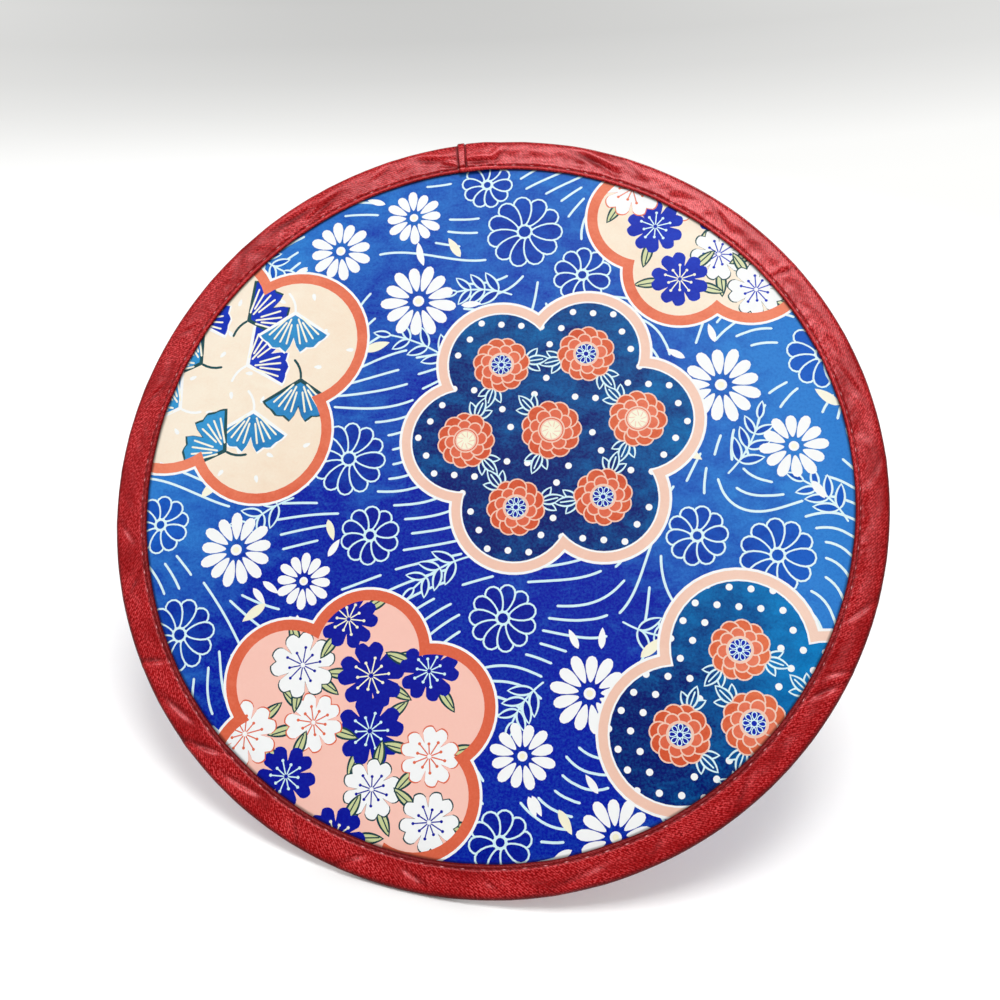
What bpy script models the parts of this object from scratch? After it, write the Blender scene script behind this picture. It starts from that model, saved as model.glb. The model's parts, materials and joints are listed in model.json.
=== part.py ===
"""Pop-up disc fan: two printed satin discs sewn back to back, their edge bound with a folded satin tape.

A spring-steel wire hoop runs loose in the channel that the tape makes round the edge. Its two ends meet in
a crimped ferrule. The fan leans back on its rim, front towards -Y and top towards +Z, in metres.
"""

import math

import bmesh
import bpy
from mathutils import Vector

# Whole fan
DISC_DIAMETER = 0.240
LEAN_BACK = 42.0  # degrees from upright, top away from the viewer
SEAM_TURN = 17.8  # from the top of the disc to the tape's lapped end, degrees left seen from the front

# Spring hoop and its ferrule
WIRE_DIAMETER = 0.0012
WIRE_END_GAP = 0.0006
FERRULE_LENGTH = 0.014
FERRULE_WALL = 0.0003
FERRULE_TURN = 131.5  # from the top of the disc, degrees left seen from the front
CRIMP_COUNT = 3
CRIMP_WIDTH = 0.0016
CRIMP_DEPTH = 0.00015

# Binding tape: cloth thickness, and the widths seen on one face
TAPE_THICKNESS = 0.00025
TAPE_WIDTH = 0.0100  # from the rim to the inner fold
HEM_WIDTH = 0.0030  # turned under at the inner fold
HEM_TO_PUFF = 0.0002  # flat cloth past the hem's raw edge
PUFF_REACH = 0.4  # where the tape's side swells most, from the hem (0) to the hoop (1)
PUFF_HEIGHT = 0.75  # how far it has risen there, from the sewn height (0) to the channel's height (1)
LAP_LENGTH = 0.0085  # the finishing end covers this much of the starting end
LAP_RAMP = 0.006

# Printed satin discs, which the seam pinches together, and the seam's two threads
PANEL_THICKNESS = 0.0002
PANEL_EDGE_GAP = 0.0012  # from the panels' cut edge to the ferrule
PANEL_RISE = 0.0004  # the free cloth stands this much further out than its sewn edge
PANEL_SLOPE = 0.006  # width of the ring in which it rises
FOLD_TO_SLOPE = 0.0006  # from the tape's inner fold to that ring
THREAD_DIAMETER = 0.0003
STITCH_INSET = 0.0018  # from the tape's inner fold
THREAD_STEP = 0.0008  # the thread comes down off the lapped end within this length

# Clearances between pieces that touch
PLY_GAP = 0.0001
CHANNEL_GAP = 0.0003

MERGE_WITHIN = 0.000001

# Facets
TAPE_STATIONS = 90
RAMP_STATIONS = 4
LAP_STATIONS = 2
PANEL_SIDES = 90
WIRE_STATIONS = 120
FERRULE_SIDES = 12
THREAD_STATIONS = 90

# Radii in the disc's plane, from its centre, and heights from its middle plane
RIM_RADIUS = DISC_DIAMETER / 2
FERRULE_BORE = WIRE_DIAMETER / 2 + PLY_GAP
FERRULE_RADIUS = FERRULE_BORE + FERRULE_WALL
CHANNEL_RADIUS = FERRULE_RADIUS + CHANNEL_GAP
HOOP_RADIUS = RIM_RADIUS - TAPE_THICKNESS - CHANNEL_RADIUS
PANEL_RADIUS = HOOP_RADIUS - FERRULE_RADIUS - PANEL_EDGE_GAP
FOLD_RADIUS = RIM_RADIUS - TAPE_WIDTH
STITCH_RADIUS = FOLD_RADIUS + STITCH_INSET
SLOPE_RADIUS = FOLD_RADIUS - FOLD_TO_SLOPE
PANEL_MIDDLE = (PLY_GAP + PANEL_THICKNESS) / 2
PLY_PITCH = TAPE_THICKNESS + PLY_GAP
HEM_HEIGHT = PANEL_MIDDLE + PANEL_THICKNESS / 2 + PLY_GAP + TAPE_THICKNESS / 2
LEG_HEIGHT = HEM_HEIGHT + PLY_PITCH
SEAM_ANGLE = math.radians(90 + SEAM_TURN)
LAP_ANGLE = LAP_LENGTH / RIM_RADIUS
RAMP_ANGLE = LAP_RAMP / RIM_RADIUS


def start_clean():
    """Empties the scene and returns the collection that holds the fan."""
    for obj in list(bpy.data.objects):
        bpy.data.objects.remove(obj)
    collection = bpy.data.collections.new("disc_fan")
    bpy.context.scene.collection.children.link(collection)
    return collection


def material(name, colour, roughness, metallic=0.0):
    made = bpy.data.materials.new(name)
    made.use_nodes = True
    shader = made.node_tree.nodes["Principled BSDF"]
    shader.inputs["Base Color"].default_value = (*colour, 1.0)
    shader.inputs["Roughness"].default_value = roughness
    shader.inputs["Metallic"].default_value = metallic
    return made


def around(radius, angle, height=0.0):
    """A point of the disc's own frame, from its place round the disc."""
    return Vector((radius * math.cos(angle), radius * math.sin(angle), height))


def spaced(start, end, count):
    return [start + (end - start) * i / count for i in range(count + 1)]


def eased(share):
    return share * share * (3 - 2 * share)


def finish_mesh(name, mesh, colour, collection, frame):
    """Shades the mesh smooth apart from its sharp edges and places it in the disc's frame."""
    mesh.shade_smooth()
    mesh.set_sharp_from_angle(angle=math.radians(35))
    mesh.materials.append(colour)
    obj = bpy.data.objects.new(name, mesh)
    obj.parent = frame
    collection.objects.link(obj)
    return obj


def loft(rings, closed):
    """A skin through rings of equal length: a closed tube, or capped across its first and last ring.

    A ring runs along one side of a strip and back along the other, so each cap is a row of quads.
    """
    bm = bmesh.new()
    rows = [[bm.verts.new(point) for point in ring] for ring in rings]
    sides = len(rings[0])
    pairs = list(zip(rows, rows[1:]))
    if closed:
        pairs.append((rows[-1], rows[0]))
    for near, far in pairs:
        for i in range(sides):
            j = (i + 1) % sides
            bm.faces.new((near[i], near[j], far[j], far[i]))
    if not closed:
        for row in (rows[0], rows[-1]):
            for i in range(sides // 2 - 1):
                bm.faces.new((row[i], row[i + 1], row[-2 - i], row[-1 - i]))
    bmesh.ops.recalc_face_normals(bm, faces=bm.faces)
    mesh = bpy.data.meshes.new("loft")
    bm.to_mesh(mesh)
    bm.free()
    return mesh


def thick_outline(line, thickness):
    """The closed outline of a strip of this thickness whose middle follows the line, with mitred corners."""
    steps = [(b - a).normalized() for a, b in zip(line, line[1:])]
    before = [steps[0], *steps]
    after = [*steps, steps[-1]]
    left = []
    right = []
    for point, came, goes in zip(line, before, after):
        across = Vector((-came.y - goes.y, came.x + goes.x)).normalized()
        mitre = thickness / 2 / across.dot(Vector((-came.y, came.x)))
        left.append(point + across * mitre)
        right.append(point - across * mitre)
    return left + right[::-1]


def tape_section(lap):
    """The tape's outline as (radius, height) from its front hem round the hoop to its back hem.

    lap is 0 for the plain tape and 1 where its finishing end wraps the starting end.
    """
    lift = lap * 2 * PLY_PITCH
    wrap = CHANNEL_RADIUS + TAPE_THICKNESS / 2 + lap * PLY_PITCH
    fold = FOLD_RADIUS + TAPE_THICKNESS / 2
    flat = FOLD_RADIUS + HEM_WIDTH + HEM_TO_PUFF
    puff = flat + PUFF_REACH * (HOOP_RADIUS - flat)
    leg = LEG_HEIGHT + lift
    half = [
        Vector((FOLD_RADIUS + HEM_WIDTH, HEM_HEIGHT + lift)),
        Vector((fold + PLY_PITCH / 2, HEM_HEIGHT + lift)),
        Vector((fold, HEM_HEIGHT + lift + PLY_PITCH / 2)),
        Vector((fold + PLY_PITCH / 2, leg)),
        Vector((flat, leg)),
        Vector((puff, leg + PUFF_HEIGHT * (wrap - leg))),
        Vector((HOOP_RADIUS, wrap)),
        Vector((HOOP_RADIUS + wrap * math.sqrt(0.5), wrap * math.sqrt(0.5))),
    ]
    rim = Vector((HOOP_RADIUS + wrap, 0))
    back = [Vector((point.x, -point.y)) for point in reversed(half)]
    return thick_outline([*half, rim, *back], TAPE_THICKNESS)


def lap_share(angle):
    """How far the tape has risen over its own start at this angle: 0 plain, 1 over the starting end."""
    past = (SEAM_ANGLE - angle) % (2 * math.pi)
    if past <= LAP_ANGLE:
        return 1.0
    return eased(max(0.0, 1 - (past - LAP_ANGLE) / RAMP_ANGLE))


def binding_tape(satin, collection, frame):
    """One length of tape: it starts under the lap, runs once round the disc and ends over its own start."""
    under = SEAM_ANGLE - LAP_ANGLE
    over = under + 2 * math.pi
    stations = spaced(under, over - RAMP_ANGLE, TAPE_STATIONS)
    shares = [0.0] * len(stations)
    for angle in spaced(over - RAMP_ANGLE, over, RAMP_STATIONS)[1:]:
        stations.append(angle)
        shares.append(lap_share(angle))
    for angle in spaced(over, SEAM_ANGLE + 2 * math.pi, LAP_STATIONS)[1:]:
        stations.append(angle)
        shares.append(1.0)
    rings = [
        [around(point.x, angle, point.y) for point in tape_section(share)]
        for angle, share in zip(stations, shares)
    ]
    finish_mesh("binding_tape", loft(rings, closed=False), satin, collection, frame)


def panel(name, side, satin, collection, frame):
    """A satin disc turned from its profile, in front of the middle plane (side 1) or behind it (side -1)."""
    rise = side * PANEL_RISE
    profile = [(0.0, rise), (SLOPE_RADIUS - PANEL_SLOPE, rise), (SLOPE_RADIUS, 0.0), (PANEL_RADIUS, 0.0)]
    bm = bmesh.new()
    points = [bm.verts.new((radius, 0.0, height)) for radius, height in profile]
    for near, far in zip(points, points[1:]):
        bm.edges.new((near, far))
    mesh = bpy.data.meshes.new(name)
    bm.to_mesh(mesh)
    bm.free()
    obj = finish_mesh(name, mesh, satin, collection, frame)
    obj.location.z = side * PANEL_MIDDLE
    turn = obj.modifiers.new("turn", "SCREW")
    turn.steps = PANEL_SIDES
    turn.render_steps = PANEL_SIDES
    turn.use_merge_vertices = True
    turn.merge_threshold = MERGE_WITHIN
    turn.use_smooth_shade = False
    cloth = obj.modifiers.new("cloth", "SOLIDIFY")
    cloth.thickness = PANEL_THICKNESS
    cloth.offset = 0.0


def wire(name, points, thickness, sides, closed, metal, collection, frame):
    """A round wire or thread through the points."""
    curve = bpy.data.curves.new(name, "CURVE")
    curve.dimensions = "3D"
    curve.bevel_depth = thickness / 2
    curve.bevel_resolution = sides // 2 - 2
    curve.use_fill_caps = True
    spline = curve.splines.new("POLY")
    spline.points.add(len(points) - 1)
    for spot, point in zip(spline.points, points):
        spot.co = (*point, 1)
    spline.use_cyclic_u = closed
    curve.materials.append(metal)
    obj = bpy.data.objects.new(name, curve)
    obj.parent = frame
    collection.objects.link(obj)


def spring_hoop(steel, collection, frame):
    """The wire hoop, open where its two ends meet in the ferrule."""
    joint = math.radians(90 + FERRULE_TURN)
    half_gap = WIRE_END_GAP / 2 / HOOP_RADIUS
    angles = spaced(joint + half_gap, joint + 2 * math.pi - half_gap, WIRE_STATIONS)
    points = [around(HOOP_RADIUS, angle) for angle in angles]
    wire("spring_hoop", points, WIRE_DIAMETER, 8, False, steel, collection, frame)


def hoop_ferrule(steel, collection, frame):
    """A tube bent to the hoop and crimped onto the wire ends."""
    joint = math.radians(90 + FERRULE_TURN)
    half = FERRULE_LENGTH / 2
    pitch = FERRULE_LENGTH / CRIMP_COUNT
    profile = [(-half, FERRULE_BORE), (-half, FERRULE_RADIUS)]
    for i in range(CRIMP_COUNT):
        middle = (i + 0.5) * pitch - half
        profile.append((middle - CRIMP_WIDTH / 2, FERRULE_RADIUS))
        profile.append((middle - CRIMP_WIDTH / 4, FERRULE_RADIUS - CRIMP_DEPTH))
        profile.append((middle + CRIMP_WIDTH / 4, FERRULE_RADIUS - CRIMP_DEPTH))
        profile.append((middle + CRIMP_WIDTH / 2, FERRULE_RADIUS))
    profile += [(half, FERRULE_RADIUS), (half, FERRULE_BORE), (0.0, FERRULE_BORE)]
    rings = []
    for along, radius in profile:
        angle = joint + along / HOOP_RADIUS
        turns = [2 * math.pi * k / FERRULE_SIDES for k in range(FERRULE_SIDES)]
        rings.append(
            [
                around(HOOP_RADIUS + radius * math.cos(turn), angle, radius * math.sin(turn))
                for turn in turns
            ]
        )
    finish_mesh("hoop_ferrule", loft(rings, closed=True), steel, collection, frame)


def seam_thread(name, side, thread, collection, frame):
    """One of the seam's two threads, a ring on the tape's face that rises over the lapped end."""
    rest = LEG_HEIGHT + TAPE_THICKNESS / 2 + PLY_GAP + THREAD_DIAMETER / 2
    step = THREAD_STEP / STITCH_RADIUS
    clear = (THREAD_DIAMETER / 2 + PLY_GAP) / STITCH_RADIUS
    down = SEAM_ANGLE + clear + step
    ramp = SEAM_ANGLE - LAP_ANGLE - RAMP_ANGLE + 2 * math.pi
    stations = spaced(down, ramp, THREAD_STATIONS)
    stations += spaced(ramp, ramp + RAMP_ANGLE, RAMP_STATIONS)[1:]
    stations += spaced(ramp + RAMP_ANGLE, SEAM_ANGLE + 2 * math.pi, LAP_STATIONS)[1:]
    heights = [rest + lap_share(angle) * 2 * PLY_PITCH for angle in stations]
    stations.append(SEAM_ANGLE + 2 * math.pi + clear)
    heights[-1] = rest + 2 * PLY_PITCH
    heights.append(rest + 2 * PLY_PITCH)
    heights[0] = rest
    points = [
        around(STITCH_RADIUS, angle, side * height)
        for angle, height in zip(stations, heights)
    ]
    wire(name, points, THREAD_DIAMETER, 6, True, thread, collection, frame)


def stand_on_floor(frame, collection):
    """Leans the fan back and sets it on the floor, with the origin under the middle of its box."""
    frame.rotation_euler.x = math.radians(90 - LEAN_BACK)
    bpy.context.view_layer.update()
    graph = bpy.context.evaluated_depsgraph_get()
    points = []
    for obj in collection.objects:
        if obj.type == "EMPTY":
            continue
        shown = obj.evaluated_get(graph)
        mesh = shown.to_mesh()
        points += [shown.matrix_world @ vertex.co for vertex in mesh.vertices]
        shown.to_mesh_clear()
    low = [min(point[k] for point in points) for k in range(3)]
    high = [max(point[k] for point in points) for k in range(3)]
    frame.location = (-(low[0] + high[0]) / 2, -(low[1] + high[1]) / 2, -low[2])
    bpy.context.view_layer.update()
    print("disc centre", [round(value, 6) for value in frame.location])


def main():
    collection = start_clean()
    frame = bpy.data.objects.new("fan_frame", None)
    collection.objects.link(frame)
    red_satin = material("red_satin", (0.42, 0.012, 0.022), 0.45)
    printed_satin = material("printed_satin", (0.012, 0.06, 0.50), 0.4)
    spring_steel = material("spring_steel", (0.42, 0.43, 0.45), 0.3, metallic=1.0)
    red_thread = material("red_thread", (0.30, 0.008, 0.015), 0.6)
    panel("front_panel", 1, printed_satin, collection, frame)
    panel("back_panel", -1, printed_satin, collection, frame)
    binding_tape(red_satin, collection, frame)
    spring_hoop(spring_steel, collection, frame)
    hoop_ferrule(spring_steel, collection, frame)
    seam_thread("needle_thread", 1, red_thread, collection, frame)
    seam_thread("bobbin_thread", -1, red_thread, collection, frame)
    stand_on_floor(frame, collection)


main()
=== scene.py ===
import json
import math
import random

import bmesh
import bpy
from mathutils import Matrix, Vector, noise
from mathutils.geometry import delaunay_2d_cdt


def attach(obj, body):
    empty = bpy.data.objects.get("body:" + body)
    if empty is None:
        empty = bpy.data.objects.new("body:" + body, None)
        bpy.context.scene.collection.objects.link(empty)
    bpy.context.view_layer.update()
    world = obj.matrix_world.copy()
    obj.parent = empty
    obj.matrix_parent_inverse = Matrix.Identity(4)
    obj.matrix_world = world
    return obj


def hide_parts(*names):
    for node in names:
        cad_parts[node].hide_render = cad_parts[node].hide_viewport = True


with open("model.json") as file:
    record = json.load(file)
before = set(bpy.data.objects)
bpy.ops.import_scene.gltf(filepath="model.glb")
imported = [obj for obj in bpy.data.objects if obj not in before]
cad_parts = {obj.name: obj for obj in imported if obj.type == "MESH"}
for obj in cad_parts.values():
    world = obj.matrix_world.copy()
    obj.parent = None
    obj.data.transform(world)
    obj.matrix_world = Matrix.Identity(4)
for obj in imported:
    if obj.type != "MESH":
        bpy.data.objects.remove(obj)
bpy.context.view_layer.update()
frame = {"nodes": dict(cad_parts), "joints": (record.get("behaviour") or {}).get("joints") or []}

# The disc's own frame: x to the right, y up its slope, z out of its front, all in millimetres
hoopTurn = frame["joints"][0]
discCentre = Vector(hoopTurn["pos_m"])
discFront = Vector(hoopTurn["axis"]).normalized()
discRight = Vector((1, 0, 0))
discUp = discFront.cross(discRight)
discToWorld = Matrix((discRight, discUp, discFront)).transposed().to_4x4()
discToWorld.translation = discCentre
discToWorld = discToWorld @ Matrix.Scale(0.001, 4)

clothSpan = 250.0   # millimetres of cloth to one unit of its flat map


# Small helpers for node trees, used by the meshes and the materials alike
class Value:
    # An output of a node that plain arithmetic can be done with, one node for each sign
    def __init__(self, tree, socket):
        self.tree, self.socket = tree, socket

    def __add__(self, other):
        return calc("ADD", self, other)

    def __sub__(self, other):
        return calc("SUBTRACT", self, other)

    def __rsub__(self, other):
        return calc("SUBTRACT", other, self)

    def __mul__(self, other):
        return calc("MULTIPLY", self, other)

    def __truediv__(self, other):
        return calc("DIVIDE", self, other)

    def __rtruediv__(self, other):
        return calc("DIVIDE", other, self)

    def feed(self, node, name):
        self.tree.links.new(self.socket, node.inputs[name])


def addNode(tree, kind, inputs=None, **settings):
    node = tree.nodes.new(kind)
    for name, value in settings.items():
        setattr(node, name, value)
    for key, value in (inputs or {}).items():
        if isinstance(value, Value):
            value.feed(node, key)
        else:
            node.inputs[key].default_value = value
    return node


def add(tree, kind, inputs=None, out=0, **settings):
    return Value(tree, addNode(tree, kind, inputs, **settings).outputs[out])


def calc(operation, *values, **settings):
    tree = next(value.tree for value in values if isinstance(value, Value))
    return add(tree, "ShaderNodeMath", dict(enumerate(values)), operation=operation, **settings)


def fade(value, low, high, outLow=0.0, outHigh=1.0, kind="SMOOTHSTEP"):
    inputs = {0: value, 1: low, 2: high, 3: outLow, 4: outHigh}
    return add(value.tree, "ShaderNodeMapRange", inputs, interpolation_type=kind)


def straightFade(value, low, high, outLow=0.0, outHigh=1.0):
    return fade(value, low, high, outLow, outHigh, "LINEAR")


def bell(value, steepness=1.0):
    # 1 where the value is 0, and falling off smoothly to both sides
    return calc("EXPONENT", value * value * -steepness)


def vector(x, y, z=0.0):
    return add(x.tree, "ShaderNodeCombineXYZ", {0: x, 1: y, 2: z})


def split(spot):
    node = addNode(spot.tree, "ShaderNodeSeparateXYZ", {0: spot})
    return [Value(spot.tree, socket) for socket in node.outputs[:2]]


def stretched(spot, turn, alongX, alongY):
    # turned in the plane first, then stretched along both of its directions
    inputs = {"Vector": spot, "Rotation": (0, 0, turn), "Scale": (alongX, alongY, 1.0)}
    return add(spot.tree, "ShaderNodeMapping", inputs)


def noiseAt(spot, scale=1.0, detail=1.0, **more):
    return add(spot.tree, "ShaderNodeTexNoise", {"Vector": spot, "Scale": scale, "Detail": detail, **more})


def mixTone(share, *tones):
    # between two colours, each an output or plain red, green and blue
    first, second = (tone if isinstance(tone, Value) else (*tone, 1) for tone in tones)
    return add(share.tree, "ShaderNodeMix", {0: share, 6: first, 7: second}, 2, data_type="RGBA")


def newGroup(name, kind, inputs, outputs):
    # inputs are (name, type, default) and outputs (name, type); gives the tree, its inputs and its end
    tree = bpy.data.node_groups.new(name, kind)
    for label, socketType, default in inputs:
        socket = tree.interface.new_socket(label, in_out="INPUT", socket_type="NodeSocket" + socketType)
        if default is not None:
            socket.default_value = default
    for label, socketType in outputs:
        tree.interface.new_socket(label, in_out="OUTPUT", socket_type="NodeSocket" + socketType)
    given = tree.nodes.new("NodeGroupInput")
    return tree, {socket.name: Value(tree, socket) for socket in given.outputs}, tree.nodes.new("NodeGroupOutput")


def useGroup(tree, kind, group, inputs):
    node = addNode(tree, kind, inputs, node_tree=group)
    return {socket.name: Value(tree, socket) for socket in node.outputs}


def newMaterial(name, constants=None):
    material = bpy.data.materials.new(name)
    material.use_nodes = True
    shader = material.node_tree.nodes["Principled BSDF"]
    for key, value in (constants or {}).items():
        shader.inputs[key].default_value = value
    return material, material.node_tree, shader


def storedTone(tree, name, out="Fac"):
    return add(tree, "ShaderNodeAttribute", None, out, attribute_name=name)


def addBump(shader, height, strength, distance):
    bump = add(height.tree, "ShaderNodeBump", {"Strength": strength, "Distance": distance, "Height": height})
    bump.feed(shader, "Normal")


def addObject(name, data):
    obj = bpy.data.objects.new(name, data)
    bpy.context.scene.collection.objects.link(obj)
    return obj


# The print

printSettings = {
    "radius": 116.25,         # the panel's cut edge, hidden under the tape
    "turn": 6.5,              # degrees the printed cloth lies turned in the fan
    "edgePoints": 480,
    "gridStep": 3.0,          # spacing of the points that carry the cloth's waves
    "windowBand": 3.3,        # coloured border of a window
    "windowRing": 0.8,        # white line round that border
    "lineWidth": 0.56,
    "streamWidth": 0.78,
    "streamGap": 4.6,
    "streamStep": 1.6,
    "streamReach": 112,       # streams stay within this radius
    "seed": 23,
}

# Each ink has a deep and a light tone, and the wash drifts between them
inks = {
    "ground": ((0.001, 0.008, 0.335), (0.030, 0.212, 0.620)),
    "petal": ((0.001, 0.005, 0.270), (0.010, 0.110, 0.530)),
    "pond": ((0.001, 0.006, 0.130), (0.004, 0.205, 0.530)),
    "white": ((0.880, 0.890, 0.895), (0.890, 0.900, 0.900)),
    "line": ((0.610, 0.820, 0.880), (0.710, 0.880, 0.900)),
    "peach": ((0.830, 0.530, 0.420), (0.880, 0.625, 0.515)),
    "coral": ((0.680, 0.120, 0.058), (0.820, 0.235, 0.135)),
    "orange": ((0.600, 0.080, 0.030), (0.790, 0.195, 0.085)),
    "pink": ((0.900, 0.530, 0.450), (0.930, 0.600, 0.520)),
    "cream": ((0.860, 0.690, 0.530), (0.900, 0.800, 0.660)),
    "ivory": ((0.870, 0.840, 0.640), (0.900, 0.880, 0.740)),
    "leaf": ((0.560, 0.600, 0.300), (0.700, 0.730, 0.450)),
    "twig": ((0.012, 0.050, 0.060), (0.020, 0.080, 0.090)),
    "navy": ((0.003, 0.006, 0.290), (0.010, 0.042, 0.500)),
    "sky": ((0.010, 0.120, 0.360), (0.040, 0.300, 0.620)),
}


def heading(angle):
    return Vector((math.cos(angle), math.sin(angle)))


def around(count, start=0.0, shift=0.0):
    # Evenly spaced directions with their numbers
    return [(k, start + 2 * math.pi * (k + shift) / count) for k in range(count)]


def onCircle(centre, radius, angle):
    return (centre[0] + radius * math.cos(angle), centre[1] + radius * math.sin(angle))


def beside(start, angle, along, across):
    # The place so far along a direction and so far to its left
    return (start[0] + along * math.cos(angle) - across * math.sin(angle),
            start[1] + along * math.sin(angle) + across * math.cos(angle))


def circleOutline(centre, radius, count):
    return [onCircle(centre, radius, angle) for k, angle in around(count)]


def petalOutline(centre, angle, near, far, width, count=14, tip=0.35):
    # A drop that starts narrow at near and is widest towards far
    points = []
    for k, turn in around(count):
        along = near + (far - near) * (0.5 - 0.5 * math.cos(turn))
        share = (along - near) / (far - near)
        points.append(beside(centre, angle, along, 0.5 * width * math.sin(turn) * (1 - tip + 2 * tip * share)))
    return points


def leafOutline(base, angle, length, width, grow=0.0, count=8):
    # Pointed at both ends, with its widest place a little before the middle, out on one side and back on the other
    points = []
    for k in (*range(count), *range(-count, 0)):
        share, side = abs(k) / count, 1 if k >= 0 else -1
        swell = math.sin(math.pi * share ** 0.85) ** 0.8 if 0 < share < 1 else 0
        points.append(beside(base, angle, -grow + (length + 2 * grow) * share, side * (0.5 * width + grow) * swell))
    return points


def strokeOutline(path, width):
    # A line of even width with rounded ends, along a path of points
    path = [Vector(point) for point in path]
    left, right = [], []
    for k, point in enumerate(path):
        ahead = (path[min(k + 1, len(path) - 1)] - path[max(k - 1, 0)]).normalized()
        across = Vector((-ahead.y, ahead.x)) * width / 2
        left.append(tuple(point + across))
        right.append(tuple(point - across))
    first = (path[0] - path[1]).normalized() * width / 2
    last = (path[-1] - path[-2]).normalized() * width / 2
    return [tuple(path[0] + first), *right, tuple(path[-1] + last), *reversed(left)]


def lobedOutline(centre, lobes, reach, bulge, turn, grow=0.0, perLobe=22):
    # Joined round lobes, each a circle of radius bulge whose middle lies reach from the centre
    points = []
    for lobe, middle in around(lobes, turn):
        for k in range(perLobe):
            off = math.pi / lobes * (2 * k / perLobe - 1)
            beyond = math.sqrt(max(0.0, (bulge + grow) ** 2 - (reach * math.sin(off)) ** 2))
            points.append(onCircle(centre, reach * math.cos(off) + beyond, middle + off))
    return points


class PrintSheet:
    # The shapes of the print in painting order. A shape with a window shows only inside it
    def __init__(self):
        self.shapes = []
        self.window = None

    def paint(self, outline, ink):
        self.shapes.append((outline, ink, self.window))
        return len(self.shapes) - 1

    def dot(self, centre, radius, ink, count):
        self.paint(circleOutline(centre, radius, count), ink)

    def ring(self, centre, radius, width, line, fill, count, innerCount=None):
        self.dot(centre, radius, line, count)
        self.dot(centre, radius - width, fill, innerCount or count - 2)

    def stroke(self, path, width, ink):
        self.paint(strokeOutline(path, width), ink)

    def leaf(self, base, angle, length, width, line, fill, outer, inner):
        # with a line drawn round it, outer wide on the outside of the leaf's edge and inner wide on its inside
        self.paint(leafOutline(base, angle, length, width, outer), line)
        self.paint(leafOutline(base, angle, length, width, -inner), fill)


def paintDaisy(sheet, centre, radius, petals, turn):
    sheet.dot(centre, radius * 0.62, "ground", 26)
    for k, angle in around(petals, turn):
        reach = radius * (1.0 if k % 2 else 0.93)
        sheet.paint(petalOutline(centre, angle, radius * 0.27, reach, radius * 0.30 * 12 / petals, 14, 0.42), "white")
    sheet.dot(centre, radius * 0.15, "white", 14)
    sheet.dot(centre, radius * 0.085, "ivory", 10)


def paintLineDaisy(sheet, centre, radius, petals, turn):
    line, near = printSettings["lineWidth"], radius * 0.14
    wide = 2 * math.sin(math.pi / petals) * radius * 0.80
    sheet.dot(centre, radius * 0.55, "line", 20)
    for k, angle in around(petals, turn):
        sheet.paint(petalOutline(centre, angle, near, radius, wide + line, 16), "line")
        sheet.paint(petalOutline(centre, angle, near + line * 1.3, radius - line, wide - line, 16), "petal")
    sheet.ring(centre, radius * 0.20, line, "line", "petal", 16, 12)


def paintRosette(sheet, centre, radius, turn, heart):
    # Two rings of overlapping round petals, like a camellia seen from above
    line = 0.45
    for ink, share, petals in (("orange", 1.0, 11), ("coral", 0.74, 8)):
        for k, angle in around(petals, turn, share):
            sheet.ring(onCircle(centre, radius * share * 0.66, angle), radius * share * 0.34, line, "peach", ink, 16)
        sheet.ring(centre, radius * share * 0.60, line, "peach", ink, 24)
    if heart == "ivory":
        sheet.ring(centre, radius * 0.36, line, "peach", "ivory", 22)
        for k, angle in around(9, turn):
            ends = onCircle(centre, radius * 0.12, angle), onCircle(centre, radius * 0.29, angle + 0.3)
            sheet.stroke(ends, 0.28, "peach")
    else:
        sheet.ring(centre, radius * 0.40, line, "peach", "navy", 22)
        for k, angle in around(8, turn):
            sheet.paint(petalOutline(centre, angle, radius * 0.10, radius * 0.36, radius * 0.17, 12), "line")
            sheet.paint(petalOutline(centre, angle, radius * 0.14, radius * 0.33, radius * 0.11, 10), "navy")
        sheet.ring(centre, radius * 0.12, 0.35, "line", "navy", 12)


def paintTripleLeaf(sheet, base, angle, length):
    for off, share in ((0.75, 0.78), (-0.75, 0.78), (0, 1.0)):
        sheet.leaf(base, angle + off, length * share, length * share * 0.42, "line", "pond", 0.30, 0.30)
    sheet.stroke([base, onCircle(base, length * 0.75, angle)], 0.45, "line")


def paintLeaf(sheet, base, angle, length, fill, line=None):
    # Where it has a line, that goes round it and along its vein
    width = length * 0.34
    if not line:
        sheet.paint(leafOutline(base, angle, length, width), fill)
        return
    sheet.leaf(base, angle, length, width, line, fill, 0.35, 0.30)
    sheet.stroke([onCircle(base, length * 0.08, angle), onCircle(base, length * 0.86, angle + 0.04)], 0.40, line)


def paintSprig(sheet, base, angle, length, steps=8, bend=0.07):
    # A curved stem with pairs of leaves
    path = [Vector(base)]
    for k in range(steps):
        path.append(path[-1] + heading(angle + bend * k) * length / steps)
    sheet.stroke(path, 0.6, "line")
    for k in range(2, steps + 1, 2):
        size = 8.4 - 0.35 * k
        for side in (0.8, -0.8) if k < steps else (0.0,):
            sheet.leaf(tuple(path[k]), angle + bend * k + side, size, size * 0.36, "line", "petal", 0.32, 0.34)


def paintBlossom(sheet, centre, radius, turn, fill, line, stamen):
    # Five round petals, each with a notch in its tip
    for inset, ink in ((0.0, line), (0.45, fill)):
        points = []
        for petal in range(5):
            for k in range(16):
                off = (k / 16 - 0.5) * 2
                notch = 0.16 * math.exp(-(off / 0.16) ** 2)
                size = radius * (0.50 + 0.50 * (1 - off ** 4) ** 0.5 - notch) - inset
                points.append(onCircle(centre, size, turn + (petal + off / 2) * 2 * math.pi / 5))
        sheet.paint(points, ink)
    for k, angle in around(10, turn, 0.5):
        tip = onCircle(centre, radius * (0.52 if k % 2 else 0.40), angle)
        sheet.stroke([onCircle(centre, radius * 0.08, angle), tip], 0.38, stamen)
        sheet.dot(tip, 0.48, stamen, 8)


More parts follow.
